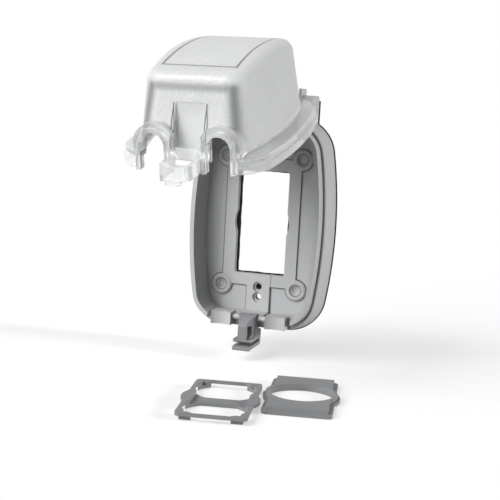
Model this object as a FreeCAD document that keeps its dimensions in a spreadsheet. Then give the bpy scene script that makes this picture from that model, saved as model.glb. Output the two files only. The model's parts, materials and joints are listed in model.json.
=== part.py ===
import FreeCAD, Part
import math
import os

import Sketcher
from FreeCAD import Rotation, Vector

# A weatherproof cover for one wall outlet: a moulded tray with a device opening, a gasket
# behind it, a deep clear lid hinged along the top edge, a latch under the bottom edge and
# two loose adapter plates. Millimetres. X runs to the right as seen from the front, Z up,
# and the wall is the plane Y = 0. A "forward" size is measured from the wall towards the
# viewer, so it is -Y. The origin is the middle of the device opening on the wall plane.

SIZES = {
    # outline of the tray at the wall, which every ring of the rim repeats further in
    "half_width": 47.1,
    "half_height": 67.9,
    "side_bow": 295.0,
    "corner_round": 24.0,
    # tray, front to back
    "gasket_thick": 1.8,
    "gasket_proud": 0.5,
    "floor_thick": 3.0,
    "ledge_depth": 13.5,
    "rim_depth": 20.0,
    # tray, how far each ring lies in from the outline
    "ledge_inset": 2.6,
    "rim_foot_inset": 4.6,
    "rim_outer_inset": 5.4,
    "rim_inner_inset": 8.0,
    "floor_inset": 9.8,
    "ledge_round": 1.2,
    "seat_width": 1.4,
    "seat_depth": 1.3,
    # opening for the device, and the relief for a round one
    "opening_width": 33.3,
    "opening_height": 66.8,
    "opening_round": 2.0,
    "relief_radius": 18.0,
    # raised forms on the tray floor
    "pad_width": 49.4,
    "pad_height": 82.6,
    "pad_raise": 0.8,
    "strip_width": 16.0,
    "strip_raise": 1.2,
    "boss_radius": 6.9,
    "boss_across": 49.6,
    "boss_apart": 83.2,
    "boss_raise": 1.6,
    "boss_ring": 1.1,
    "boss_step": 0.6,
    "dimple_radius": 3.7,
    "dimple_foot": 1.6,
    "dimple_depth": 2.4,
    # screw holes
    "device_pitch": 83.3,
    "plate_pitch": 96.8,
    "screw_hole": 4.0,
    "screw_head": 6.8,
    "screw_sink": 1.6,
    # hinge housing on top of the tray
    "housing_half_width": 32.0,
    "housing_top": 82.0,
    "housing_round": 6.0,
    "housing_front": 17.9,
    "hinge_forward": 17.2,
    "hinge_height": 71.5,
    "hinge_pin_radius": 2.0,
    "pin_play": 0.05,
    "cheek_radius": 5.4,
    "cheek_thick": 5.0,
    "bay_behind_pin": 5.0,
    "bay_foot_sink": 1.1,
    "roof_thick": 2.8,
    "nose_drop": 2.0,
    "fin_front": 15.0,
    "fin_across": 48.0,
    "fin_thick": 1.6,
    "fin_height": 4.0,
    "fin_back": 2.5,
    # cord saddles on the bottom of the rim
    "cord_across": 35.6,
    "saddle_width": 13.0,
    "saddle_top": 56.4,
    "saddle_bottom": 64.5,
    "saddle_proud": 1.3,
    "saddle_dip": 2.0,
    "saddle_root": 2.0,
    "notch_depth": 12.5,
    "notch_reach": 3.0,
    "leg_slit": 2.9,
    # latch and its pin
    "latch_pin_radius": 1.6,
    "latch_pin_depth": 17.6,
    "latch_pin_drop": 59.0,
    "latch_pin_seat": 2.4,
    "pin_short": 0.3,
    "latch_width": 11.0,
    "latch_knuckle": 3.0,
    "latch_bar_width": 5.3,
    "latch_front": 32.0,
    "latch_back": 8.0,
    "latch_bottom": 77.0,
    "latch_stop_rise": 0.9,
    "latch_top_reach": 6.5,
    "latch_top_slope": 2.5,
    "latch_brow": 2.2,
    "slot_wall": 2.7,
    "slot_length": 4.6,
    "slot_slope": 2.4,
    "taper_back": 4.0,
    "lip_gap": 2.0,
    "lip_thick": 2.3,
    "lip_proud": 1.0,
    "hook_drop": 0.5,
    "lip_root": 3.5,
    "lip_round": 0.8,
    "heel": 1.6,
    # lid, in its closed place
    "lid_wall": 2.0,
    "lid_gap": 0.5,
    "skirt_wall": 1.8,
    "skirt_step": 0.8,
    "skirt_step_height": 4.2,
    "shelf_thick": 2.0,
    "hood_half_width": 36.0,
    "hood_side_bow": 212.0,
    "hood_hinge_end": 59.0,
    "hood_latch_end": 62.4,
    "hood_corner": 11.0,
    "crest_half_width": 28.5,
    "crest_side_bow": 500.0,
    "crest_hinge_end": 46.0,
    "crest_latch_end": 48.0,
    "crest_corner": 10.0,
    "crest_forward": 72.0,
    "crown_radius": 225.0,
    "hood_round": 8.0,
    "hood_bevel": 3.4,
    "hood_foot": 21.0,
    "hood_above": 4.0,
    "crown_fall": 12.0,
    "crown_reach": 70.0,
    "open_angle": 75.5,
    # cord arches in the lid's end
    "arch_radius": 6.7,
    "arch_top": 33.9,
    "arch_wall": 2.3,
    "arch_rib": 2.2,
    "arch_back": 61.2,
    "arch_front": 67.0,
    "arch_rib_front": 64.0,
    "arch_rib_back": 50.0,
    "cord_way_back": 45.0,
    # loop on the lid's end, and the hollow over the latch
    "loop_play": 0.6,
    "loop_wall": 2.7,
    "loop_low": 15.0,
    "loop_thick": 7.4,
    "loop_inner_end": 80.4,
    "loop_bar": 4.6,
    "loop_nose_width": 13.0,
    "loop_nose_length": 5.5,
    "bump_width": 8.3,
    "bump_height": 2.0,
    "bump_depth": 2.4,
    "bay_half_width": 8.0,
    "bay_back": 54.5,
    "bay_top": 48.0,
    "bay_bottom": 25.0,
    "band_bottom": 16.8,
    # barrel on the lid, and the web under it
    "barrel_wall": 1.6,
    "barrel_play": 0.4,
    "web_lift": 0.8,
    "web_thick": 3.4,
    "web_drop": 2.8,
    # adapter plates that lie in front
    "adapter_width": 37.4,
    "adapter_height": 70.6,
    "adapter_thick": 1.8,
    "adapter_raise": 2.2,
    "adapter_play": 0.25,
    "adapter_wall": 1.6,
    "adapter_bulge": 21.25,
    "adapter_corner": 3.0,
    "round_face": 36.4,
    "duplex_face": 34.2,
    "duplex_flat": 28.6,
    "duplex_pitch": 38.9,
    "table_drop": 84.0,
    "round_across": 57.0,
    "round_forward": 105.5,
    "duplex_across": 20.6,
    "duplex_forward": 137.0,
    "adapter_turn": 10.0,
    # how far a form is sunk into what carries it, and a cut runs past what it opens
    "sunk": 0.4,
    "past": 1.0,
}

doc = FreeCAD.newDocument("outlet_cover")
sheet = doc.addObject("Spreadsheet::Sheet", "Sizes")
for row, (alias, number) in enumerate(SIZES.items(), start=1):
    sheet.set("A%d" % row, alias)
    sheet.set("B%d" % row, str(number))
    sheet.setAlias("B%d" % row, alias)
doc.recompute()


class Size:
    """A length that knows both its formula in the sheet's names and its present value."""

    def __init__(self, text, number):
        self.text = text
        self.number = number

    @staticmethod
    def of(other):
        return other if isinstance(other, Size) else Size(repr(float(other)), float(other))

    def __add__(self, other):
        other = Size.of(other)
        return Size("(%s + %s)" % (self.text, other.text), self.number + other.number)

    def __sub__(self, other):
        other = Size.of(other)
        return Size("(%s - %s)" % (self.text, other.text), self.number - other.number)

    def __mul__(self, other):
        other = Size.of(other)
        return Size("(%s * %s)" % (self.text, other.text), self.number * other.number)

    def __truediv__(self, other):
        other = Size.of(other)
        return Size("(%s / %s)" % (self.text, other.text), self.number / other.number)

    def __neg__(self):
        return Size("(-1 * %s)" % self.text, -self.number)

    def __radd__(self, other):
        return Size.of(other) + self

    def __rsub__(self, other):
        return Size.of(other) - self

    def __rmul__(self, other):
        return Size.of(other) * self


class Sheet:
    """Gives each cell of the sheet by its name."""

    def __getattr__(self, alias):
        return Size("Sizes." + alias, float(sheet.get(alias)))


s = Sheet()
ZERO = Size.of(0)
ALONG_X = Rotation(Vector(0, 1, 0), 90)
FORWARD = Rotation(Vector(1, 0, 0), 90)

tray_back = s.gasket_thick
floor_face = s.gasket_thick + s.floor_thick
ledge_face = floor_face + s.ledge_depth
rim_face = floor_face + s.rim_depth
housing_forward = floor_face + s.housing_front
latch_axis = floor_face + s.latch_pin_depth
hood_base = floor_face + s.hood_foot
hood_peak = s.crest_forward + s.hood_above


def bind(thing, prop, size):
    """Sets a property to a formula of the sheet."""
    thing.setExpression(prop, Size.of(size).text)


def new_body(label):
    body = doc.addObject("PartDesign::Body", label + "_body")
    body.Label = label
    return body


def sketch_on(body, name, role, lift=ZERO):
    """An empty sketch on one of the body's own planes, lifted along the plane's normal.

    On XZ_Plane the sketch looks at the front: its axes are X and Z and its normal points
    forward. On YZ_Plane they are Y and Z, and the normal is X. On XY_Plane, X, Y and Z.
    """
    plane = next(item for item in body.Origin.OriginFeatures if item.Role == role)
    sketch = body.newObject("Sketcher::SketchObject", name)
    sketch.AttachmentSupport = [(plane, "")]
    sketch.MapMode = "FlatFace"
    bind(sketch, "AttachmentOffset.Base.z", lift)
    return sketch


def constrain(sketch, kind, *parts, size):
    index = sketch.addConstraint(Sketcher.Constraint(kind, *parts, size.number))
    sketch.setExpression("Constraints[%d]" % index, size.text)


def polygon(sketch, corners):
    """A closed outline of straight lines, each corner held at its formula."""
    points = [(Size.of(u), Size.of(v)) for u, v in corners]
    places = [Vector(u.number, v.number, 0) for u, v in points]
    first = sketch.GeometryCount
    for here, there in zip(places, places[1:] + places[:1]):
        sketch.addGeometry(Part.LineSegment(here, there))
    count = len(points)
    for step in range(count):
        line = first + step
        sketch.addConstraint(Sketcher.Constraint("Coincident", line, 2, first + (step + 1) % count, 1))
        constrain(sketch, "DistanceX", line, 1, size=points[step][0])
        constrain(sketch, "DistanceY", line, 1, size=points[step][1])
    return sketch


def bowed_outline(sketch, half_width, top, bottom, bow, corner):
    """An upright outline: flat ends, bowed sides and one radius at all four corners."""
    bow_centre = half_width.number - bow.number
    reach = bow.number - corner.number

    def corner_arc(height):
        level = math.copysign(abs(height) - corner.number, height)
        across = bow_centre + math.sqrt(reach ** 2 - level ** 2)
        return across, level, math.atan2(level, across - bow_centre)

    top_x, top_level, top_turn = corner_arc(top.number)
    low_x, low_level, low_turn = corner_arc(-bottom.number)

    def arc(x, y, radius, start, end):
        round_line = Part.Circle(Vector(x, y, 0), Vector(0, 0, 1), radius)
        return sketch.addGeometry(Part.ArcOfCircle(round_line, start, end))

    quarter = math.pi / 2
    head = sketch.addGeometry(Part.LineSegment(Vector(top_x, top.number, 0), Vector(-top_x, top.number, 0)))
    left_top = arc(-top_x, top_level, corner.number, quarter, math.pi - top_turn)
    left = arc(-bow_centre, 0, bow.number, math.pi - top_turn, math.pi - low_turn)
    left_low = arc(-low_x, low_level, corner.number, math.pi - low_turn, 3 * quarter)
    foot = sketch.addGeometry(
        Part.LineSegment(Vector(-low_x, -bottom.number, 0), Vector(low_x, -bottom.number, 0)))
    right_low = arc(low_x, low_level, corner.number, -quarter, low_turn)
    right = arc(bow_centre, 0, bow.number, low_turn, top_turn)
    right_top = arc(top_x, top_level, corner.number, top_turn, quarter)

    loop = [head, left_top, left, left_low, foot, right_low, right, right_top]
    for here, there in zip(loop, loop[1:] + loop[:1]):
        sketch.addConstraint(Sketcher.Constraint("Tangent", here, 2, there, 1))
    for line in (head, foot):
        sketch.addConstraint(Sketcher.Constraint("Horizontal", line))
    for other in (left_low, right_low, right_top):
        sketch.addConstraint(Sketcher.Constraint("Equal", left_top, other))
    sketch.addConstraint(Sketcher.Constraint("Equal", left, right))
    for side in (left, right):
        sketch.addConstraint(Sketcher.Constraint("PointOnObject", side, 3, -1))
    constrain(sketch, "Radius", left_top, size=corner)
    constrain(sketch, "Radius", left, size=bow)
    constrain(sketch, "DistanceX", right, 3, size=half_width - bow)
    constrain(sketch, "DistanceX", left, 3, size=bow - half_width)
    constrain(sketch, "DistanceY", head, 1, size=top)
    constrain(sketch, "DistanceY", foot, 1, size=-bottom)
    return sketch


def ring(body, name, forward, inset):
    """The tray's outline at one depth, drawn in by an inset."""
    sketch = sketch_on(body, name, "XZ_Plane", forward)
    height = s.half_height - inset
    return bowed_outline(sketch, s.half_width - inset, height, height, s.side_bow - inset,
                         s.corner_round - inset)


def pad(body, name, sketch, length, both_ways=False):
    feature = body.newObject("PartDesign::Pad", name)
    feature.Profile = sketch
    bind(feature, "Length", length)
    feature.Midplane = both_ways
    return feature


def pocket(body, name, sketch, length, along_normal=True, both_ways=False):
    feature = body.newObject("PartDesign::Pocket", name)
    feature.Profile = sketch
    bind(feature, "Length", length)
    feature.Reversed = along_normal and not both_ways
    feature.Midplane = both_ways
    return feature


def loft(body, name, first, *others, cut=False):
    """Straight walls from one outline to the next."""
    kind = "PartDesign::SubtractiveLoft" if cut else "PartDesign::AdditiveLoft"
    feature = body.newObject(kind, name)
    feature.Profile = first
    feature.Sections = list(others)
    feature.Ruled = True
    return feature


def solid(body, kind, name, at, turn=Rotation(), **lengths):
    """One of the ready-made solids, such as a box or a cylinder, added to or cut from a body."""
    feature = body.newObject("PartDesign::" + kind, name)
    feature.Placement.Rotation = turn
    for axis, size in zip("xyz", at):
        bind(feature, "Placement.Base." + axis, size)
    for prop, size in lengths.items():
        bind(feature, prop, size)
    return feature


def box(body, name, low, high, cut=False):
    """A box from its low to its high corner, given as X, forward and Z."""
    width, depth, height = (top - bottom for bottom, top in zip(low, high))
    return solid(body, "SubtractiveBox" if cut else "AdditiveBox", name, (low[0], -high[1], low[2]),
                 Length=width, Width=depth, Height=height)


def rod(body, name, x_low, x_high, forward, height, radius, cut=False):
    """A cylinder along X."""
    return solid(body, "SubtractiveCylinder" if cut else "AdditiveCylinder", name,
                 (x_low, -forward, height), ALONG_X, Radius=radius, Height=x_high - x_low)


def plug(body, name, x, height, back, front, radius, cut=False):
    """A cylinder along Y, from one forward place to another."""
    return solid(body, "SubtractiveCylinder" if cut else "AdditiveCylinder", name,
                 (x, -back, height), FORWARD, Radius=radius, Height=front - back)


def dress_edges(body, kind, name, chosen):
    """A fillet or a chamfer on the edges of the body so far that the test picks."""
    doc.recompute()
    base = body.Tip
    names = ["Edge%d" % number for number, edge in enumerate(base.Shape.Edges, start=1) if chosen(edge)]
    feature = body.newObject("PartDesign::" + kind, name)
    feature.Base = (base, names)
    return feature


def round_edges(body, name, radius, chosen):
    bind(dress_edges(body, "Fillet", name, chosen), "Radius", radius)


def bevel_edges(body, name, size, chosen):
    bind(dress_edges(body, "Chamfer", name, chosen), "Size", size)


def near(value, size, slack=0.01):
    return abs(value - size.number) < slack


def runs_along(edge, axis):
    """True for a straight edge along X, Y or Z."""
    spans = {"X": edge.BoundBox.XLength, "Y": edge.BoundBox.YLength, "Z": edge.BoundBox.ZLength}
    along = spans.pop(axis)
    return along > 0.01 and max(spans.values()) < 0.001


def device_opening(body, name, back, front, width, height):
    """Cuts the upright opening and its round relief."""
    half_wide = width / 2
    half_high = height / 2
    box(body, name, (-half_wide, back, -half_high), (half_wide, front, half_high), cut=True)
    round_edges(body, name + "_corners", s.opening_round,
                lambda edge: runs_along(edge, "Y") and near(abs(edge.BoundBox.XMin), half_wide)
                and near(abs(edge.BoundBox.ZMin), half_high))
    plug(body, name + "_relief", ZERO, ZERO, back, front, s.relief_radius, cut=True)


def housing_profile(sketch):
    """Side view of the hinge housing: flat back, sloping top and a nose round the pin."""
    back = -tray_back
    root = s.sunk - ledge_face
    front = -housing_forward
    foot = s.half_height - s.corner_round / 2
    chin = s.hinge_height - s.cheek_radius
    return polygon(sketch, [
        (back, foot), (root, foot), (root, chin), (-s.hinge_forward - s.cheek_radius / 2, chin),
        (front, s.hinge_height - s.nose_drop), (front, s.housing_top - s.housing_round),
        (front + s.housing_round, s.housing_top), (back, s.housing_top)])


def make_tray():
    body = new_body("base_tray")
    skirt_and_rim(body)
    hinge_housing(body)
    loft(body, "inside", ring(body, "floor_ring", floor_face, s.floor_inset),
         ring(body, "mouth_ring", rim_face, s.rim_inner_inset), cut=True)
    raised_floor(body)
    cord_saddles(body)
    screw_holes(body)
    device_opening(body, "device_opening", tray_back - s.past, floor_face + s.pad_raise + s.past,
                   s.opening_width, s.opening_height)
    return body


def skirt_and_rim(body):
    """The drafted outer wall with its rounded ledge, the rim on it and the groove the lid sits in."""
    turn = s.ledge_round
    loft(body, "skirt_wall", ring(body, "wall_ring", tray_back, ZERO),
         ring(body, "ledge_low_ring", ledge_face - turn, s.ledge_inset - turn / 8),
         ring(body, "ledge_mid_ring", ledge_face - turn / 4, s.ledge_inset + turn / 4),
         ring(body, "ledge_ring", ledge_face, s.ledge_inset + turn))
    loft(body, "rim_wall", ring(body, "rim_foot_ring", ledge_face, s.rim_foot_inset),
         ring(body, "rim_outer_ring", rim_face, s.rim_outer_inset))
    seat = ring(body, "seat_line", ledge_face - s.seat_depth, s.rim_foot_inset)
    outer = s.rim_foot_inset - s.seat_width
    height = s.half_height - outer
    bowed_outline(seat, s.half_width - outer, height, height, s.side_bow - outer, s.corner_round - outer)
    pocket(body, "lid_seat", seat, s.seat_depth)


def hinge_housing(body):
    """The hooded bay on top of the tray that holds the hinge pin, with two fins on its roof."""
    half = s.housing_half_width
    pad(body, "hinge_housing", housing_profile(sketch_on(body, "housing_side", "YZ_Plane")), half * 2,
        both_ways=True)
    round_edges(body, "housing_edges", s.housing_round / 2,
                lambda edge: runs_along(edge, "X") and edge.BoundBox.XLength > s.housing_half_width.number
                and edge.BoundBox.ZMin > (s.housing_top - s.housing_round).number - 1)
    bay = half - s.cheek_thick
    front = housing_forward + s.past
    pit_floor = s.half_height - s.bay_foot_sink
    roof = s.housing_top - s.roof_thick
    box(body, "barrel_bay", (-bay, s.hinge_forward - s.bay_behind_pin, pit_floor), (bay, front, roof), cut=True)
    box(body, "skirt_bay", (-bay, ledge_face - s.seat_depth, s.half_height - s.rim_foot_inset),
        (bay, front, pit_floor + s.sunk), cut=True)
    rod(body, "hinge_bore", -half - s.past, half + s.past, s.hinge_forward, s.hinge_height,
        s.hinge_pin_radius + s.pin_play, cut=True)
    for side, place in (("left", -s.fin_across / 2), ("right", s.fin_across / 2)):
        box(body, "fin_" + side, (place - s.fin_thick / 2, floor_face + s.fin_back, roof),
            (place + s.fin_thick / 2, floor_face + s.fin_front, s.housing_top + s.fin_height))


def raised_floor(body):
    """The raised pad and middle strip, and the four bosses at the pad's corners."""
    half_pad = s.pad_width / 2
    box(body, "pad", (-half_pad, tray_back, -s.pad_height / 2),
        (half_pad, floor_face + s.pad_raise, s.pad_height / 2))
    strip = s.strip_width / 2
    reach = s.half_height - s.floor_inset + s.sunk
    face = floor_face + s.strip_raise
    box(body, "strip", (-strip, tray_back, -reach), (strip, face, reach))
    box(body, "strip_foot", (-strip, floor_face, -reach - s.strip_raise),
        (strip, floor_face + s.notch_depth - s.sunk, s.strip_raise - reach))
    for across in (-s.boss_across / 2, s.boss_across / 2):
        for height in (-s.boss_apart / 2, s.boss_apart / 2):
            add_boss(body, across, height)


def add_boss(body, across, height):
    """A round boss with a stepped rim and a cupped dimple."""
    face = floor_face + s.boss_raise
    plug(body, "boss", across, height, tray_back, face - s.boss_step, s.boss_radius)
    plug(body, "boss_face", across, height, tray_back, face, s.boss_radius - s.boss_ring)
    slant = (s.dimple_radius - s.dimple_foot) / s.dimple_depth
    solid(body, "SubtractiveCone", "boss_dimple", (across, s.dimple_depth - face, height), FORWARD,
          Radius1=s.dimple_foot, Radius2=s.dimple_radius + slant * s.sunk, Height=s.dimple_depth + s.sunk)


def cord_saddles(body):
    """Opens the rim at the bottom and stands two dished saddles in it."""
    inner = (s.cord_across - s.saddle_width) / 2
    outer = (s.cord_across + s.saddle_width) / 2
    gap = outer + s.leg_slit
    notch = floor_face + s.notch_depth
    box(body, "cord_notch", (-gap, notch, -s.half_height - s.past),
        (gap, rim_face + s.past, s.notch_reach - s.saddle_top), cut=True)
    front = rim_face + s.saddle_proud
    half = s.saddle_width / 2
    dish = (half * half + s.saddle_dip * s.saddle_dip) / (s.saddle_dip * 2)
    for side, start in (("left", -outer), ("right", inner)):
        box(body, "saddle_" + side, (start, notch - s.saddle_root, -s.saddle_bottom),
            (start + s.saddle_width, front, -s.saddle_top))
        solid(body, "SubtractiveCylinder", "dish_" + side,
              (start + half, s.saddle_dip - front - dish, -s.saddle_bottom - s.past), Radius=dish,
              Height=s.saddle_bottom - s.saddle_top + s.past * 2)
    seat = inner + s.latch_pin_seat
    rod(body, "latch_pin_bore", -seat, seat, latch_axis, -s.latch_pin_drop,
        s.latch_pin_radius + s.pin_play, cut=True)


def screw_holes(body):
    """Two pairs on the middle line: the device's screws and the cover plate's screws."""
    face = floor_face + s.strip_raise
    for pair, pitch in (("device", s.device_pitch), ("plate", s.plate_pitch)):
        for end, height in (("upper", pitch / 2), ("lower", -pitch / 2)):
            name = "%s_%s_screw" % (end, pair)
            plug(body, name, ZERO, height, tray_back - s.past, face + s.past, s.screw_hole / 2, cut=True)
            plug(body, name + "_head", ZERO, height, face - s.screw_sink, face + s.past,
                 s.screw_head / 2, cut=True)


def make_gasket():
    """The foam sheet, a little proud of the tray all round and in the window."""
    body = new_body("wall_gasket")
    proud = s.gasket_proud
    pad(body, "sheet", ring(body, "outline", ZERO, -proud), s.gasket_thick)
    edge = s.housing_half_width + proud
    box(body, "hinge_tongue", (-edge, ZERO, s.half_height - s.corner_round / 2),
        (edge, s.gasket_thick, s.housing_top - s.housing_round / 2))
    for height in (s.plate_pitch / 2, -s.plate_pitch / 2):
        plug(body, "screw_hole", ZERO, height, ZERO - s.past, s.gasket_thick + s.past, s.screw_hole / 2,
             cut=True)
    device_opening(body, "window", ZERO - s.past, s.gasket_thick + s.past, s.opening_width - proud * 2,
                   s.opening_height - proud * 2)
    return body


def hood_outline(body, name, forward, half_width, hinge_end, latch_end, bow, corner, inset):
    sketch = sketch_on(body, name, "XZ_Plane", forward)
    return bowed_outline(sketch, half_width - inset, hinge_end - inset, latch_end - inset,
                         bow - inset, corner - inset)


def hood_form(body, inset, low=None):
    """The deep hood as a solid: drafted walls under a crowned top, drawn in by an inset.

    The outer form has rounded edges. The hollow, which starts lower, has bevelled ones.
    """
    foot = hood_outline(body, "hood_foot", hood_base, s.hood_half_width, s.hood_hinge_end, s.hood_latch_end,
                        s.hood_side_bow, s.hood_corner, inset)
    head = hood_outline(body, "hood_head", hood_peak, s.crest_half_width, s.crest_hinge_end,
                        s.crest_latch_end, s.crest_side_bow, s.crest_corner, inset)
    loft(body, "hood", foot, head)
    if low is not None:
        pad(body, "hood_root", hood_outline(body, "hood_root_line", low, s.hood_half_width,
            s.hood_hinge_end, s.hood_latch_end, s.hood_side_bow, s.hood_corner, inset), hood_base - low)
    crown_cut(body, inset)
    lowest = (s.crest_forward - s.crown_fall).number
    highest = s.crest_forward.number

    def on_crown(edge):
        return -edge.BoundBox.YMax > lowest and -edge.BoundBox.YMin < highest + 0.2

    if low is None:
        round_edges(body, "hood_rounds", s.hood_round, on_crown)
    else:
        bevel_edges(body, "hood_bevels", s.hood_bevel, on_crown)
    return body


def crown_cut(body, inset):
    """Trims the hood's top to an arc seen from the side."""
    sketch = sketch_on(body, "crown_side", "YZ_Plane")
    radius = s.crown_radius - inset
    centre = radius - s.crest_forward + inset
    reach = s.crown_reach
    far = -hood_peak - s.past
    turn = math.asin(reach.number / radius.number)
    curve = Part.Circle(Vector(centre.number, 0, 0), Vector(0, 0, 1), radius.number)
    arc = sketch.addGeometry(Part.ArcOfCircle(curve, math.pi - turn, math.pi + turn))
    side = centre.number - radius.number * math.cos(turn)
    corners = [Vector(across, up, 0) for across, up in (
        (side, -reach.number), (far.number, -reach.number), (far.number, reach.number), (side, reach.number))]
    lines = [sketch.addGeometry(Part.LineSegment(here, there)) for here, there in zip(corners, corners[1:])]
    chain = [arc] + lines
    for here, there in zip(chain, chain[1:] + chain[:1]):
        sketch.addConstraint(Sketcher.Constraint("Coincident", here, 2, there, 1))
    sketch.addConstraint(Sketcher.Constraint("Horizontal", lines[0]))
    sketch.addConstraint(Sketcher.Constraint("Horizontal", lines[2]))
    sketch.addConstraint(Sketcher.Constraint("Vertical", lines[1]))
    sketch.addConstraint(Sketcher.Constraint("PointOnObject", arc, 3, -1))
    constrain(sketch, "Radius", arc, size=radius)
    constrain(sketch, "DistanceX", arc, 3, size=centre)
    constrain(sketch, "DistanceX", lines[1], 1, size=far)
    constrain(sketch, "DistanceY", lines[0], 1, size=-reach)
    constrain(sketch, "DistanceY", lines[2], 1, size=reach)
    return pocket(body, "crown", sketch, s.half_width * 4, both_ways=True)


def arch(body, name, centre, radius, foot, z_low, z_high, cut=False):
    """An upside-down U that runs along Z: a round head on straight legs down to a foot."""
    level = floor_face + s.arch_top - s.arch_radius
    kind = "SubtractiveCylinder" if cut else "AdditiveCylinder"
    solid(body, kind, name + "_head", (centre, -level, z_low), Radius=radius, Height=z_high - z_low)
    box(body, name + "_legs", (centre - radius, foot, z_low), (centre + radius, level, z_high), cut=cut)


def make_lid():
    """The lid in its closed place: skirt, shelf and hood, with the arches, the loop and the barrel."""
    body = new_body("clear_lid")
    inner_inset = s.rim_foot_inset - s.lid_gap
    skirt_inset = inner_inset - s.skirt_wall
    skirt_foot = ledge_face + s.lid_gap
    shelf_low = rim_face + s.lid_gap
    step = skirt_foot + s.skirt_step_height
    cord_ways = (("left", -s.cord_across / 2), ("right", s.cord_across / 2))
    pad(body, "skirt", ring(body, "skirt_ring", skirt_foot, skirt_inset), s.skirt_step_height)
    pad(body, "shelf", ring(body, "shelf_ring", step, skirt_inset + s.skirt_step),
        shelf_low + s.shelf_thick - step)
    hood_form(body, ZERO)
    for side, centre in cord_ways:
        arch(body, side + "_collar_rib", centre, s.arch_radius + s.arch_wall + s.arch_rib, shelf_low,
             -s.arch_rib_front, -s.arch_rib_back)
        arch(body, side + "_collar", centre, s.arch_radius + s.arch_wall, skirt_foot,
             -s.arch_front, -s.arch_back)
    latch_loop(body)
    hinge_barrel(body)
    loft(body, "skirt_inside", ring(body, "inner_foot_ring", skirt_foot - s.past, inner_inset),
         ring(body, "inner_head_ring", shelf_low, inner_inset), cut=True)

    core = new_body("lid_core")
    hood_form(core, s.lid_wall, shelf_low - s.past)
    hollow = body.newObject("PartDesign::Boolean", "hollow")
    hollow.Type = "Cut"
    hollow.addObjects([core])

    arch_legs(body, cord_ways, skirt_foot)
    latch_bay(body, skirt_foot)
    for side, centre in cord_ways:
        arch(body, side + "_cord_way", centre, s.arch_radius, skirt_foot - s.past, -s.arch_front - s.past,
             -s.cord_way_back, cut=True)
    rod(body, "barrel_bore", -s.housing_half_width, s.housing_half_width, s.hinge_forward, s.hinge_height,
        s.hinge_pin_radius + s.pin_play, cut=True)
    return body


def arch_legs(body, cord_ways, foot):
    """The arches' legs inside the skirt, put back where the hollow cut them away."""
    for side, centre in cord_ways:
        for end, start in (("in", -s.arch_radius - s.arch_wall), ("out", s.arch_radius)):
            box(body, "%s_leg_%s" % (side, end), (centre + start, foot, -s.arch_front),
                (centre + start + s.arch_wall, rim_face + s.lid_gap + s.shelf_thick, -s.arch_back))


def latch_loop(body):
    """The flat loop that drops over the latch: two arms, a nose and a bump under the nose."""
    hole = s.latch_width / 2 + s.loop_play
    outer = hole + s.loop_wall
    low = floor_face + s.loop_low
    tip = s.loop_inner_end + s.loop_bar
    nose = s.loop_nose_width / 2
    shoulder = tip - s.loop_nose_length
    sketch = sketch_on(body, "loop_line", "XZ_Plane", low)
    polygon(sketch, [(-outer, -s.arch_back), (-outer, -shoulder), (-nose, -tip), (nose, -tip),
                     (outer, -shoulder), (outer, -s.arch_back)])
    pad(body, "loop", sketch, s.loop_thick)
    box(body, "loop_bump", (-s.bump_width / 2, low - s.bump_height, -tip),
        (s.bump_width / 2, low + s.sunk, s.bump_depth - tip))


def latch_bay(body, skirt_foot):
    """The band in the lid's end that leans in to clear the latch, with side walls of its own."""
    half = s.bay_half_width
    top = floor_face + s.bay_top
    low = floor_face + s.bay_bottom
    wall = s.lid_wall
    slope = (s.hood_latch_end - s.crest_latch_end) / (hood_peak - hood_base)
    end_at_low = s.hood_latch_end - slope * (low - hood_base) - s.sunk
    end_at_top = s.hood_latch_end - slope * (top - hood_base) - s.sunk
    inner = s.bay_back - wall
    sketch = sketch_on(body, "bay_wall_side", "YZ_Plane")
    polygon(sketch, [(-low, -inner), (-low, -end_at_low), (-top - wall, -end_at_top), (-top - wall, -inner)])
    pad(body, "bay_wall", sketch, (half + wall) * 2, both_ways=True)
    box(body, "bay", (-half, low - s.past, -s.half_height - s.past), (half, top, -s.bay_back), cut=True)
    hole = s.latch_width / 2 + s.loop_play
    box(body, "loop_hole", (-hole, skirt_foot - s.bump_height - s.past, -s.loop_inner_end),
        (hole, low, -s.bay_back), cut=True)
    box(body, "bay_mouth", (-half, skirt_foot - s.past, -s.arch_back), (half, low, -s.bay_back), cut=True)
    box(body, "band", (-half - wall, floor_face + s.band_bottom, -s.bay_back),
        (half + wall, low + s.past, -inner))


def hinge_barrel(body):
    """The barrel round the hinge pin and the web that joins it to the skirt."""
    reach = s.housing_half_width - s.cheek_thick - s.barrel_play
    radius = s.hinge_pin_radius + s.barrel_wall
    rod(body, "barrel", -reach, reach, s.hinge_forward, s.hinge_height, radius)
    back = -ledge_face - s.web_lift
    front = back - s.web_thick
    foot = s.half_height - s.rim_foot_inset + s.lid_gap + s.sunk
    sketch = sketch_on(body, "web_side", "YZ_Plane")
    polygon(sketch, [(back, foot), (back, s.hinge_height - s.web_drop), (-s.hinge_forward, s.hinge_height),
                     (-s.hinge_forward - radius, s.hinge_height), (front, s.hinge_height - s.web_drop),
                     (front, foot)])
    pad(body, "web", sketch, reach * 2, both_ways=True)


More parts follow.
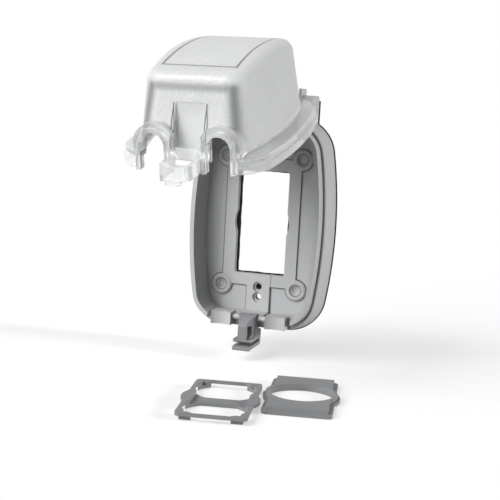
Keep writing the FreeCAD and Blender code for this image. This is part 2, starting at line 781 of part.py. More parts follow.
def make_latch():
    """The latch hanging on its pin: a slotted plate with a sprung pair of lips below."""
    body = new_body("latch")
    axis_y = -latch_axis
    axis_z = -s.latch_pin_drop
    front = -floor_face - s.latch_front
    back = -floor_face - s.latch_back
    bottom = -s.latch_bottom
    gap_low = bottom + s.lip_thick
    gap_high = gap_low + s.lip_gap
    lip_top = gap_high + s.lip_thick
    knuckle = s.latch_knuckle
    shoulder = s.latch_stop_rise - s.half_height
    brow = axis_z - s.latch_brow - s.latch_top_slope / 2
    sketch = sketch_on(body, "side_line", "YZ_Plane")
    polygon(sketch, [
        (axis_y + knuckle, axis_z), (axis_y, axis_z + knuckle),
        (axis_y - s.latch_top_reach, axis_z + knuckle / 2), (front + s.latch_brow, brow + s.latch_top_slope),
        (front, brow), (front, gap_high + s.lip_proud), (front + s.lip_gap, gap_high),
        (back - s.lip_root, gap_high), (back - s.lip_root, gap_low), (front + s.lip_gap, gap_low),
        (front - s.lip_proud, gap_low - s.hook_drop), (front - s.lip_proud, bottom - s.hook_drop),
        (front + s.lip_gap, bottom), (back - s.heel, bottom), (back, bottom + s.heel), (back, shoulder),
        (-floor_face - s.notch_depth - s.latch_stop_rise, shoulder + s.sunk)])
    pad(body, "plate", sketch, s.latch_width, both_ways=True)
    round_edges(body, "lip_rounds", s.lip_round,
                lambda edge: runs_along(edge, "X") and near(edge.BoundBox.YMin, front - s.lip_proud))
    rod(body, "knuckle", -s.latch_width / 2, s.latch_width / 2, latch_axis, axis_z, knuckle)
    slot_front = front + s.slot_wall
    slot_back = slot_front + s.slot_length
    slot = polygon(sketch_on(body, "slot_line", "YZ_Plane"), [
        (slot_front, brow), (slot_back, brow), (slot_back, lip_top + s.slot_slope),
        (slot_back - s.slot_slope, lip_top), (slot_front, lip_top)])
    pocket(body, "shackle_slot", slot, s.latch_width + s.past, both_ways=True)
    edge = s.latch_width / 2
    bar = s.latch_bar_width / 2
    taper = axis_y - s.taper_back
    for side in (-1, 1):
        wedge = sketch_on(body, "taper_line", "XY_Plane", lip_top)
        polygon(wedge, [(bar * side, front - s.past), (bar * side, slot_front), (edge * side, taper),
                        ((edge + s.past) * side, taper), ((edge + s.past) * side, front - s.past)])
        pocket(body, "taper", wedge, s.latch_bottom - s.latch_pin_drop)
    rod(body, "pin_bore", -edge - s.past, edge + s.past, latch_axis, axis_z,
        s.latch_pin_radius + s.pin_play, cut=True)
    return body


def make_pin(label, half_length, forward, height, radius):
    body = new_body(label)
    rod(body, "shank", -half_length, half_length, forward, height, radius)
    bevel_edges(body, "ends", radius / 5, lambda edge: edge.BoundBox.XLength < 0.01)
    return body


def adapter_plate(label):
    """The part both adapter plates share: a thin flange and the raised tub that fits the opening."""
    body = new_body(label)
    half_wide = s.adapter_width / 2
    half_high = s.adapter_height / 2
    solid(body, "AdditiveBox", "flange", (-half_wide, -half_high, ZERO), Length=s.adapter_width,
          Width=s.adapter_height, Height=s.adapter_thick)
    round_edges(body, "flange_corners", s.adapter_corner, lambda edge: runs_along(edge, "Z"))
    solid(body, "AdditiveCylinder", "bulge", (ZERO, ZERO, ZERO), Radius=s.adapter_bulge, Height=s.adapter_thick)
    tub_width = s.opening_width - s.adapter_play * 2
    tub_height = s.opening_height - s.adapter_play * 2
    solid(body, "AdditiveBox", "tub", (-tub_width / 2, -tub_height / 2, ZERO), Length=tub_width,
          Width=tub_height, Height=s.adapter_thick + s.adapter_raise)
    wall = s.adapter_wall
    solid(body, "SubtractiveBox", "tub_inside", (wall - tub_width / 2, wall - tub_height / 2, -s.past),
          Length=tub_width - wall * 2, Width=tub_height - wall * 2, Height=s.adapter_raise + s.past)
    return body


def make_round_adapter():
    body = adapter_plate("round_adapter")
    high = s.adapter_thick + s.adapter_raise
    solid(body, "AdditiveCylinder", "face_wall", (ZERO, ZERO, ZERO), Radius=s.round_face / 2 + s.adapter_wall,
          Height=high)
    solid(body, "SubtractiveCylinder", "face_hole", (ZERO, ZERO, -s.past), Radius=s.round_face / 2,
          Height=high + s.past * 2)
    return body


def make_duplex_adapter():
    body = adapter_plate("duplex_adapter")
    high = s.adapter_thick + s.adapter_raise
    for end in (-1, 1):
        middle = s.duplex_pitch / 2 * end
        face = sketch_on(body, "face_line", "XY_Plane", -s.past)
        flat_face(face, middle, s.duplex_face / 2, s.duplex_flat / 2)
        pocket(body, "face_hole", face, high + s.past * 2)
    return body


def flat_face(sketch, middle, radius, half_flat):
    """A circle cut off flat at its two ends, the shape of a duplex outlet's face."""
    turn = math.asin(half_flat.number / radius.number)
    across = radius.number * math.cos(turn)
    centre = Vector(0, middle.number, 0)
    curve = Part.Circle(centre, Vector(0, 0, 1), radius.number)
    right = sketch.addGeometry(Part.ArcOfCircle(curve, -turn, turn))
    top = sketch.addGeometry(Part.LineSegment(centre + Vector(across, half_flat.number, 0),
                                              centre + Vector(-across, half_flat.number, 0)))
    left = sketch.addGeometry(Part.ArcOfCircle(curve, math.pi - turn, math.pi + turn))
    low = sketch.addGeometry(Part.LineSegment(centre + Vector(-across, -half_flat.number, 0),
                                              centre + Vector(across, -half_flat.number, 0)))
    loop = [right, top, left, low]
    for here, there in zip(loop, loop[1:] + loop[:1]):
        sketch.addConstraint(Sketcher.Constraint("Coincident", here, 2, there, 1))
    for line in (top, low):
        sketch.addConstraint(Sketcher.Constraint("Horizontal", line))
    sketch.addConstraint(Sketcher.Constraint("Coincident", left, 3, right, 3))
    sketch.addConstraint(Sketcher.Constraint("Equal", left, right))
    constrain(sketch, "Radius", right, size=radius)
    constrain(sketch, "DistanceX", right, 3, size=ZERO)
    constrain(sketch, "DistanceY", right, 3, size=middle)
    constrain(sketch, "DistanceY", top, 1, size=middle + half_flat)
    constrain(sketch, "DistanceY", low, 1, size=middle - half_flat)
    return sketch


tray = make_tray()
gasket = make_gasket()
lid = make_lid()
hinge_pin = make_pin("hinge_pin", s.housing_half_width - s.pin_short, s.hinge_forward, s.hinge_height,
                     s.hinge_pin_radius)
latch = make_latch()
latch_pin = make_pin("latch_pin", (s.cord_across - s.saddle_width) / 2 + s.latch_pin_seat - s.pin_short,
                     latch_axis, -s.latch_pin_drop, s.latch_pin_radius)
round_adapter = make_round_adapter()
duplex_adapter = make_duplex_adapter()

# The lid is modelled closed and then swung up about the hinge pin to where it rests open.
swing = Rotation(Vector(1, 0, 0), -s.open_angle.number)
hinge_line = Vector(0, -s.hinge_forward.number, s.hinge_height.number)
lid.Placement = FreeCAD.Placement(hinge_line - swing.multVec(hinge_line), swing)

# The adapter plates lie on the table in front: the round one face up, the duplex one face down.
turned = Rotation(Vector(0, 0, 1), s.adapter_turn.number)
face_down = Rotation(Vector(0, 1, 0), 180)
table = -s.table_drop
for plate, turn, across, forward, height in (
        (round_adapter, turned, s.round_across, s.round_forward, table),
        (duplex_adapter, turned * face_down, s.duplex_across, s.duplex_forward,
         table + s.adapter_thick + s.adapter_raise)):
    plate.Placement.Rotation = turn
    bind(plate, "Placement.Base.x", across)
    bind(plate, "Placement.Base.y", -forward)
    bind(plate, "Placement.Base.z", height)
doc.recompute()

failed = [item.Label for item in doc.Objects if "Invalid" in item.State or "Error" in item.State]
if failed:
    raise RuntimeError("these failed: " + ", ".join(failed))

os.makedirs("parts", exist_ok=True)
for body in (tray, gasket, lid, hinge_pin, latch, latch_pin, round_adapter, duplex_adapter):
    shape = body.Shape
    if shape.isNull() or not shape.isValid():
        raise RuntimeError("%s has no valid shape" % body.Label)
    print("%-15s %d solid(s), %8.0f mm3, box %s" % (body.Label, len(shape.Solids), shape.Volume,
                                                    shape.BoundBox))
    shape.exportStep("parts/%s.step" % body.Label)
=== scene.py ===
# %% [markdown]
# # A weatherproof cover for a wall outlet
# This lesson dresses a cover for an outdoor outlet: a grey moulded tray with a foam gasket behind
# it, a deep clear lid that swings up on a pin, a latch under the tray and two loose adapter plates.
# The solids come in ready made and already in place, in metres, with the wall at Y = 0 and the
# front towards -Y. Nothing here moves them. The work is in their finishes, the cut edge of the
# gasket, the light and the camera.

# %% Load the solids
import json
import math

import bpy
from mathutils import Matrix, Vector


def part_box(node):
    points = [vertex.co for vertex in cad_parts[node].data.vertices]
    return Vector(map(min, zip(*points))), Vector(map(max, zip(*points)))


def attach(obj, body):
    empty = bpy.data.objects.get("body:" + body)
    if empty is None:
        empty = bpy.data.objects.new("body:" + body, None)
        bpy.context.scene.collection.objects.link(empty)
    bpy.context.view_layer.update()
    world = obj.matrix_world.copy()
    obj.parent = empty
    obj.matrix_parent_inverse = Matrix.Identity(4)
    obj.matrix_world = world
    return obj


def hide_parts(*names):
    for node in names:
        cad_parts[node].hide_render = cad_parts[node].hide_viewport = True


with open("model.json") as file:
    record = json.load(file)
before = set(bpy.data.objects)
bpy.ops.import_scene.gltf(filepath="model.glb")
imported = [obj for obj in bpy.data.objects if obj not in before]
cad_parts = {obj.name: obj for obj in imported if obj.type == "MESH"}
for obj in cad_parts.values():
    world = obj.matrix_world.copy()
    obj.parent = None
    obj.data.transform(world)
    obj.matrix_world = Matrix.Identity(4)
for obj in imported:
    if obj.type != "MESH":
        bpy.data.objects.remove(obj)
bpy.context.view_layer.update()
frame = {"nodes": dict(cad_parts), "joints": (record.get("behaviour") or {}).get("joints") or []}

MM = 1000
solids = frame["nodes"]
print("solids:", ", ".join(sorted(solids)))

# %% [markdown]
# ## Arithmetic on a surface
# A finish often needs a number that changes from place to place, such as how rough the plastic is.
# In Blender each sum of such numbers is a node, and a long formula soon becomes a web that nobody
# can read. A small class solves this: it stands for one varying number, and plain Python signs on
# it add the nodes.

# %% A number that varies over a surface


class Level:
    """A number that varies over a surface. Python's signs on it add Math nodes to its tree."""

    def __init__(self, web, socket):
        self.web = web
        self.socket = socket

    def maths(self, operation, *values):
        return self.web.level("ShaderNodeMath", {"operation": operation}, *values)

    def __add__(self, other):
        return self.maths("ADD", self, other)

    def __sub__(self, other):
        return self.maths("SUBTRACT", self, other)

    def __mul__(self, other):
        return self.maths("MULTIPLY", self, other)

    def __rsub__(self, other):
        return self.maths("SUBTRACT", other, self)

    def __neg__(self):
        return self * -1

    def __abs__(self):
        return self.maths("ABSOLUTE", self)

    __radd__ = __add__
    __rmul__ = __mul__

    def root(self):
        return self.maths("SQRT", self)

    def ramp(self, start, end):
        """0 up to start, 1 from end on, and a smooth climb between them."""
        return self.web.level("ShaderNodeMapRange", {"interpolation_type": "SMOOTHSTEP"},
                              self, start, end, 0.0, 1.0)

    def least(self, other):
        return self.maths("MINIMUM", self, other)

    def most(self, other):
        return self.maths("MAXIMUM", self, other)


print("arithmetic ready")

# %% [markdown]
# ## One finish, one place for its nodes
# Every finish starts from the same shader, whose plain numbers are typed straight into its sockets.
# One method makes every other node: it sets the node's options first, then fills its sockets in
# order, by a link where the value varies and by a number where it doesn't.

# %% A finish


class Web:
    """The nodes of one material or of the sky."""

    def __init__(self, tree):
        self.tree = tree

    def node(self, kind, options=None, *values, **named):
        made = self.tree.nodes.new(kind)
        for option, setting in (options or {}).items():
            setattr(made, option, setting)
        filled = list(zip(made.inputs, values))
        filled += [(made.inputs[name.replace("_", " ")], value) for name, value in named.items()]
        for socket, value in filled:
            value = value.socket if isinstance(value, Level) else value
            if isinstance(value, bpy.types.NodeSocket):
                self.tree.links.new(value, socket)
            elif value is not None:
                socket.default_value = value
        return made

    def level(self, kind, options=None, *values, **named):
        return Level(self, self.node(kind, options, *values, **named).outputs[0])

    def ray(self, *kinds):
        """1 for light paths of these kinds, such as Camera for what the camera sees straight, else 0."""
        path = self.node("ShaderNodeLightPath")
        found = [Level(self, path.outputs["Is %s Ray" % kind]) for kind in kinds]
        for other in found[1:]:
            found[0] = found[0].most(other)
        return found[0]

    def show(self, output, shader):
        self.tree.links.new(shader.outputs[0], self.tree.nodes[output].inputs["Surface"])


class Finish(Web):
    """A material built up by code."""

    def __init__(self, name, **numbers):
        self.material = bpy.data.materials.new(name)
        self.material.use_nodes = True
        super().__init__(self.material.node_tree)
        self.shader = self.tree.nodes["Principled BSDF"]
        for socket, number in numbers.items():
            self.shader.inputs[socket.replace("_", " ")].default_value = number
        self.place = self.node("ShaderNodeTexCoord").outputs["Object"]

    def noise(self, size, detail=2.0):
        """Soft random lumps of about this size in metres, as a level round 0."""
        made = self.node("ShaderNodeTexNoise", None, Vector=self.place, Scale=1 / size, Detail=detail)
        return Level(self, made.outputs["Fac"]) - 0.5

    def axes(self, place=None):
        parts = self.node("ShaderNodeSeparateXYZ", None, place or self.place)
        return [Level(self, socket) for socket in parts.outputs]

    def blend(self, share, one, other):
        """A colour that goes from one to the other as the share goes from 0 to 1."""
        made = self.node("ShaderNodeMix", {"data_type": "RGBA"})
        self.tree.links.new(share.socket, made.inputs["Factor"])
        for socket, colour in ((made.inputs[6], one), (made.inputs[7], other)):
            if isinstance(colour, bpy.types.NodeSocket):
                self.tree.links.new(colour, socket)
            else:
                socket.default_value = (*colour, 1.0)
        return made.outputs[2]

    def wear(self, socket, value):
        """Joins a varying value to one of the shader's sockets."""
        value = value.socket if isinstance(value, Level) else value
        self.tree.links.new(value, self.shader.inputs[socket])

    def relief(self, *layers):
        """Stacks bumps, each a level and its full height in metres."""
        normal = None
        for height, depth in layers:
            bump = self.node("ShaderNodeBump", None, Strength=1.0, Distance=depth, Height=height)
            if normal is not None:
                self.tree.links.new(normal, bump.inputs["Normal"])
            normal = bump.outputs["Normal"]
        self.wear("Normal", normal)

    def on(self, *pieces):
        for piece in pieces:
            piece.data.materials.clear()
            piece.data.materials.append(self.material)
        print(self.material.name, "on", ", ".join(piece.name for piece in pieces))


# %% [markdown]
# ## Fine grooves on the tray's floor, with painted shade
# The pad round the device opening, the strips at its ends and the screw bosses stand up from the
# tray's floor, and a fine groove runs along their outline. Each boss has one more ring round its
# dimple. The grooves are finer than the solid's details, so the finish draws them: a shallow bump,
# and painted shade that darkens the colour where shade would fall in them. Each raised form is
# written as a distance that is negative inside it, the smallest of the distances is the distance to
# them all, and the groove is where that comes close to 0.

# %% The grooves and their painted shade
PAD_HALF = (0.0247, 0.0413)
STRIP_HALF = 0.008
STRIP_START = 0.0334
BOSS_PLACE = (0.0248, 0.0416)
BOSS_RADIUS = 0.0069
DIMPLE_RADIUS = 0.0037
FLOOR_FORWARD = 0.0071
FLOOR_END = 0.0580
FLOOR_FADE = 0.0004
GROOVE_HALF = 0.00045
GROOVE_BOTTOM = 0.4
GROOVE_DEPTH = 0.0003
# Painted shade in the floor's grooves: how much it darkens the colour, and its grey.
GROOVE_SHADOW_SHARE = 0.75
GROOVE_SHADOW_GREY = (0.10, 0.103, 0.107)


def shaded_floor_grooves(across, wallward, up):
    """1 along the outline of the raised pad, strip and bosses, and on the rings round the dimples, where
    the tray's finish paints shade.
    """
    side, end = abs(across), abs(up)
    pad = (side - PAD_HALF[0]).most(end - PAD_HALF[1])
    strip = side - STRIP_HALF
    off_side, off_end = side - BOSS_PLACE[0], end - BOSS_PLACE[1]
    from_boss = (off_side * off_side + off_end * off_end).root()
    raised = pad.least(strip.most(STRIP_START - end)).least(from_boss - BOSS_RADIUS)
    line = abs(raised).least(abs(from_boss - DIMPLE_RADIUS))
    above_floor = (-wallward).ramp(FLOOR_FORWARD, FLOOR_FORWARD + FLOOR_FADE)
    off_floor = above_floor.most(end.ramp(FLOOR_END, FLOOR_END + FLOOR_FADE))
    return (1 - line.ramp(GROOVE_HALF * GROOVE_BOTTOM, GROOVE_HALF)) * (1 - off_floor)


print("grooves", round(GROOVE_HALF * 2 * MM, 2), "mm wide")

# %% [markdown]
# ## Moulded grey plastic
# The tray, the latch, the pins and the adapter plates are all injection moulded in a tough grey
# plastic. Up close it isn't one flat grey: the steel mould was spark eroded, which leaves a fine
# even grain, the colour drifts a little where the melt flowed, and thick places sink a few
# hundredths of a millimetre. Each part has its own shade, so the finish is written once with
# the shade as its argument.

# %% Moulded plastic
MOULD_GRAIN = 0.0005
FLOW_LENGTH = 0.018
SINK_LENGTH = 0.010
GRAIN_DEPTH = 0.00004
SINK_DEPTH = 0.00010
PLASTIC_IOR = 1.5
PALE_SHARE = 1.07
DEEP_SHARE = 0.93
FLOW_TINT = 0.7
GRAIN_TINT = 0.5
ROUGH_DRIFT = 0.10


def moulded_plastic(name, shade, rough=0.45, grooves=None):
    """The grey plastic. Grooves may give a level that is 1 in a fine groove and 0 elsewhere, where
    painted shade darkens the colour and a bump sinks the surface.
    """
    finish = Finish(name, Roughness=rough, IOR=PLASTIC_IOR)
    grain = finish.noise(MOULD_GRAIN, detail=1.0)
    flow = finish.noise(FLOW_LENGTH, detail=3.0)
    sink = finish.noise(SINK_LENGTH, detail=1.0)
    pale = [channel * PALE_SHARE for channel in shade]
    deep = [channel * DEEP_SHARE for channel in shade]
    colour = finish.blend(0.5 + flow * FLOW_TINT + grain * GRAIN_TINT, deep, pale)
    layers = [(sink, SINK_DEPTH), (grain, GRAIN_DEPTH)]
    if grooves:
        groove = grooves(*finish.axes())
        # Painted shade: the colour goes dark in the grooves, where shade would fall.
        colour = finish.blend(groove * GROOVE_SHADOW_SHARE, colour, GROOVE_SHADOW_GREY)
        layers.append((-groove, GROOVE_DEPTH))
    finish.wear("Base Color", colour)
    finish.wear("Roughness", rough + flow * ROUGH_DRIFT + grain * ROUGH_DRIFT)
    finish.relief(*layers)
    return finish


TRAY_GREY = (0.435, 0.44, 0.445)
LATCH_GREY = (0.21, 0.214, 0.22)
PLATE_GREY = (0.205, 0.21, 0.215)
PIN_ROUGH = 0.38
PLATE_ROUGH = 0.5

moulded_plastic("tray_plastic", TRAY_GREY, grooves=shaded_floor_grooves).on(solids["base_tray"])
moulded_plastic("latch_plastic", LATCH_GREY).on(solids["latch"])
moulded_plastic("pin_plastic", TRAY_GREY, PIN_ROUGH).on(solids["hinge_pin"], solids["latch_pin"])
plate_plastic = moulded_plastic("plate_plastic", PLATE_GREY, PLATE_ROUGH)
plate_plastic.on(solids["round_adapter"], solids["duplex_adapter"])

# %% [markdown]
# ## Gasket foam
# The gasket is cut from a sheet of black closed-cell foam. Its skin is dull and slightly pitted by
# the cells below, which a Voronoi pattern gives: each cell is a shallow dimple.

# %% Foam
FOAM_CELL = 0.0007
CELL_DEPTH = 0.00012
FOAM_DRIFT = 0.006
FOAM_TINT = 0.8
FOAM_DEEP = (0.012, 0.012, 0.013)
FOAM_PALE = (0.028, 0.028, 0.03)
FOAM_ROUGH = 0.85
FOAM_IOR = 1.45


def gasket_foam():
    finish = Finish("gasket_foam", Roughness=FOAM_ROUGH, IOR=FOAM_IOR)
    cell = finish.level("ShaderNodeTexVoronoi", None, Vector=finish.place, Scale=1 / FOAM_CELL)
    drift = finish.noise(FOAM_DRIFT)
    finish.wear("Base Color", finish.blend(0.5 + drift * FOAM_TINT, FOAM_DEEP, FOAM_PALE))
    finish.wear("Roughness", FOAM_ROUGH + cell * (1 - FOAM_ROUGH))
    finish.relief((cell, CELL_DEPTH))
    return finish


print("foam cells", round(FOAM_CELL * MM, 2), "mm across")

# %% [markdown]
# ## The foam's cut edge
# The foam's window is die cut a little smaller than the tray's opening, so the foam shows in it as
# a black line. The cut runs straight past the opening's bays, a little off the middle, and is
# slightly uneven, because the die presses soft foam aside. The solid gives the start: a copy of it
# is merged, the long edges round its window are divided, and each point there is drawn in to the
# cut. The copy then stands for the solid.

# %% The gasket with its cut window
ROUND_WINDOW = (0.0182, 0.0342)
MERGE_WITHIN = 0.000005
LONG_EDGE = 0.003
EDGE_CUTS = 14
CUT_HALF = (0.0159, 0.0327)
CUT_ASIDE = 0.0004
WAVES = ((0.00010, 0.0165), (0.00006, 0.0071))


def deselect_all():
    bpy.ops.object.select_all(action="DESELECT")


def round_window(point):
    """Whether a point of the gasket lies on its window's edge: the rest is further out."""
    return abs(point.x) < ROUND_WINDOW[0] and abs(point.z) < ROUND_WINDOW[1]


def drawn_in(reach, cut_half, along):
    """The reach from the window's middle, kept within the slightly wavy cut at this place along it."""
    wave = sum(height * math.sin(math.tau * along / length) for height, length in WAVES)
    return math.copysign(min(abs(reach), cut_half + wave), reach)


def cut_gasket(solid):
    """A copy of the solid gasket with its window cut straight."""
    deselect_all()
    foam = bpy.data.objects.new("foam_gasket", solid.data.copy())
    bpy.context.scene.collection.objects.link(foam)
    bpy.context.view_layer.objects.active = foam
    foam.select_set(True)
    bpy.ops.object.mode_set(mode="EDIT")
    bpy.ops.mesh.select_all(action="SELECT")
    bpy.ops.mesh.remove_doubles(threshold=MERGE_WITHIN)
    bpy.ops.mesh.select_mode(type="EDGE")
    bpy.ops.mesh.select_all(action="DESELECT")
    bpy.ops.object.mode_set(mode="OBJECT")
    points = foam.data.vertices
    for edge in foam.data.edges:
        start, end = (points[index].co for index in edge.vertices)
        edge.select = round_window(start) and round_window(end) and (end - start).length > LONG_EDGE
    bpy.ops.object.mode_set(mode="EDIT")
    bpy.ops.mesh.subdivide(number_cuts=EDGE_CUTS)
    bpy.ops.object.mode_set(mode="OBJECT")
    moved = [point.co for point in foam.data.vertices if round_window(point.co)]
    for place in moved:
        across, up = place.x, place.z
        place.x = CUT_ASIDE + drawn_in(across - CUT_ASIDE, CUT_HALF[0], up)
        place.z = drawn_in(up, CUT_HALF[1], across)
    print("foam edge of", len(moved), "points")
    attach(foam, "tray")
    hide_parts("wall_gasket")
    return foam


foam_gasket = cut_gasket(solids["wall_gasket"])
gasket_foam().on(foam_gasket)

# %% [markdown]
# ## Clear and frosted polycarbonate
# The lid is one moulding of clear plastic with two skins. The hood was moulded against blasted
# steel, so it is frosted and looks silvery white, while the rim, the cord arches and the loop were
# polished and look glassy. Which skin a point has depends on where it lies in the closed lid, so
# a Mapping node first turns the open lid's coordinates back about its hinge. The frosted skin is
# itself a blend: most of the light scatters at the surface, some glows through the wall, and the
# rest passes through it blurred.

# %% Places on the closed lid
hinge = next(joint for joint in frame["joints"] if joint["name"] == "lid_hinge")
OPEN_TURN = math.radians(-hinge["range_deg"][0])
hinge_y, hinge_z = hinge["pos_m"][1], hinge["pos_m"][2]
back_y = hinge_y - (hinge_y * math.cos(OPEN_TURN) - hinge_z * math.sin(OPEN_TURN))
back_z = hinge_z - (hinge_y * math.sin(OPEN_TURN) + hinge_z * math.cos(OPEN_TURN))
RIM_TOP = 0.0278
LOOP_END = -0.0605
PANEL_HALF = 0.0203
PANEL_HINGE_END = 0.0366
PANEL_LATCH_END = 0.0397
PANEL_LINE = 0.0009
PANEL_LINE_BOTTOM = 0.3
PANEL_FORWARD = 0.060
PANEL_FADE = 0.001


def closed_axes(finish):
    """Across, forward and up at a point of the lid, as if it were closed."""
    closed = finish.node("ShaderNodeMapping", {"vector_type": "POINT"}, finish.place,
                         (0.0, back_y, back_z), (OPEN_TURN, 0.0, 0.0)).outputs[0]
    across, wallward, up = finish.axes(closed)
    return across, -wallward, up


def panel_outline(across, forward, up):
    """1 on the fine groove round the hood's label panel, 0 off it; painted shade darkens the colour
    there.
    """
    middle = (PANEL_HINGE_END - PANEL_LATCH_END) / 2
    half = (PANEL_HINGE_END + PANEL_LATCH_END) / 2
    outside = (abs(across) - PANEL_HALF).most(abs(up - middle) - half)
    groove = 1 - abs(outside).ramp(PANEL_LINE * PANEL_LINE_BOTTOM, PANEL_LINE)
    return groove * forward.ramp(PANEL_FORWARD, PANEL_FORWARD + PANEL_FADE)


print("the open lid is turned back by", round(math.degrees(OPEN_TURN), 1), "degrees")

# %% [markdown]
# ## Painted shade on the hood's latch end
# Between the arches a recessed band runs up the hood's latch end, with a narrow slit on each side
# that tapers towards the top, and the slits' outlines are darkened with painted shade. The hollow's
# corners show through the frosted wall as soft darker stripes, because the light takes a longer way
# through the plastic there, and the finish paints these stripes in as painted shade. A stripe is a
# distance to a line, run through a ramp.

# %% Painted shade of the hood's inner edges and slits
BAND_HALF = 0.008
BAND_TOP = 0.0520
SLIT_MIDDLE = 0.0090
SLIT_HALF = 0.0007
SLIT_LINE = (0.00010, 0.00045)
# How strongly the slits' outlines are darkened with painted shade.
SLIT_SHADOW_SHARE = 0.95
SLIT_TAPER = 0.010
LATCH_WALL = (-0.050, -0.049)
INNER_FADE = (-0.048, -0.044)
INNER_CORNER = 0.0220
INNER_CORNER_SLANT = 0.13
INNER_CROWN = 0.0600
INNER_WIDTH = 0.0034
CORNER_WIDTH = INNER_WIDTH * 1.3
CROWN_SHADE = 0.7


def latch_end(up):
    """1 on the hood's latch end, 0 further up."""
    return 1 - up.ramp(*LATCH_WALL)


def slits(across, forward, up):
    """1 on the outlines of the two narrow slits beside the band between the arches, where shade is
    painted.
    """
    half = SLIT_HALF * (1 - forward.ramp(BAND_TOP - SLIT_TAPER, BAND_TOP))
    outside = (abs(abs(across) - SLIT_MIDDLE) - half).most(forward - BAND_TOP)
    line = (1 - abs(outside).ramp(*SLIT_LINE)) * SLIT_SHADOW_SHARE
    return line * latch_end(up)


def inner_edge_shade(across, forward, up):
    """Painted shade: soft darker stripes where the hollow's corners show through the latch end of the
    hood.
    """
    from_corner = abs(abs(across) + (forward - INNER_CROWN) * INNER_CORNER_SLANT - INNER_CORNER)
    from_crown = abs(forward - INNER_CROWN)
    inside = 1 - (abs(across) - INNER_CORNER).ramp(0.0, INNER_WIDTH)
    below = 1 - (forward - INNER_CROWN).ramp(0.0, INNER_WIDTH)
    corner = (1 - from_corner.ramp(0.0, CORNER_WIDTH)) * below
    crown = (1 - from_crown.ramp(0.0, INNER_WIDTH)) * inside * CROWN_SHADE
    return corner.most(crown) * (1 - up.ramp(*INNER_FADE))


print("band", round(BAND_HALF * 2 * MM, 1), "mm wide, slits", round(SLIT_MIDDLE * MM, 1), "mm aside")

# %% [markdown]
# ## The lid's two skins
# Both skins start from the same coordinates. The frosted one has a fine grain and soft clouds in its
# colour, with painted shade on the hollow's corners and the grooves and painted light on the recessed
# band, and a coat gives it its sheen. The glassy one is smooth and lets most of the light through. A
# Mix Shader then shows each skin where it belongs.

# %% The frosted skin
HOOD_FADE = 0.0012
LOOP_FADE = 0.0005
BAND_SIDE_FADE = 0.0001
BAND_TOP_FADE = 0.0004
# How much the band's painted light fades towards its top.
BAND_LIGHT_TAPER = 0.8
FROST_GRAIN = 0.0009
FROST_CLOUD = 0.02
FROST_DEEP = (0.72, 0.725, 0.73)
FROST_PALE = (0.90, 0.905, 0.91)
FROST_GRAIN_TINT = 1.9
FROST_CLOUD_TINT = 0.3
FROST_GRAIN_DEPTH = 0.00010
FROST_ROUGH = 0.43
FROST_ROUGH_DRIFT = 0.08
# Painted light: the paler frost painted on the recessed band.
BAND_PAINTED_LIGHT = (0.95, 0.955, 0.96)
# The grey of the painted shade on the hollow's corners and under the crown.
INNER_EDGE_SHADE_GREY = (0.31, 0.314, 0.32)
# The grey of the painted shade in the grooves of the label panel and the slits.
LINE_SHADOW_GREY = (0.20, 0.204, 0.21)
LINE_DEPTH = 0.0003
LID_SINK_LENGTH = 0.009


def hood_skin(forward, up):
    """1 on the frosted hood, 0 on the glassy skirt, arches and loop."""
    above_rim = forward.ramp(RIM_TOP, RIM_TOP + HOOD_FADE)
    return above_rim.least(up.ramp(LOOP_END - LOOP_FADE, LOOP_END + LOOP_FADE))


def recessed_band_light(across, forward, up):
    """1 on the band between the arches, fading towards its top: where the band is painted paler, as
    painted light.
    """
    between_slits = 1 - abs(across).ramp(BAND_HALF, BAND_HALF + BAND_SIDE_FADE)
    band = between_slits * (1 - forward.ramp(BAND_TOP, BAND_TOP + BAND_TOP_FADE))
    band = band * latch_end(up)
    return band * (1 - forward.ramp(BAND_TOP - SLIT_TAPER, BAND_TOP) * BAND_LIGHT_TAPER)


def frosted_skin(finish, across, forward, up, sink):
    """Wears the frost on the finish's own shader."""
    band = recessed_band_light(across, forward, up)
    line = panel_outline(across, forward, up).most(slits(across, forward, up))
    grain = finish.noise(FROST_GRAIN, detail=1.0)
    cloud = finish.noise(FROST_CLOUD, detail=2.0)
    share = 0.5 + grain * FROST_GRAIN_TINT + cloud * FROST_CLOUD_TINT
    frost = finish.blend(share, FROST_DEEP, FROST_PALE)
    # Painted shade on the hollow's corners, held back on the band.
    frost = finish.blend(inner_edge_shade(across, forward, up) * (1 - band), frost, INNER_EDGE_SHADE_GREY)
    # Painted light: the recessed band is painted paler than the frost round it.
    frost = finish.blend(band, frost, BAND_PAINTED_LIGHT)
    # Painted shade in the panel's groove and on the slits' outlines.
    finish.wear("Base Color", finish.blend(line, frost, LINE_SHADOW_GREY))
    finish.wear("Roughness", FROST_ROUGH + cloud * FROST_ROUGH_DRIFT)
    finish.relief((sink, SINK_DEPTH), (grain, FROST_GRAIN_DEPTH), (-line, LINE_DEPTH))


print("frost from", FROST_DEEP, "to", FROST_PALE)

# %% The lid
FROST = {"Transmission_Weight": 0.25, "Metallic": 0.3, "Coat_Weight": 0.45, "Coat_Roughness": 0.23}
THROUGH_WALL = (0.85, 0.86, 0.865, 1.0)
THROUGH_SHARE = 0.15
RIPPLE_DEPTH = 0.00004
GLASS = {"Base_Color": (0.91, 0.918, 0.925, 1.0), "Roughness": 0.07, "Transmission_Weight": 0.74}


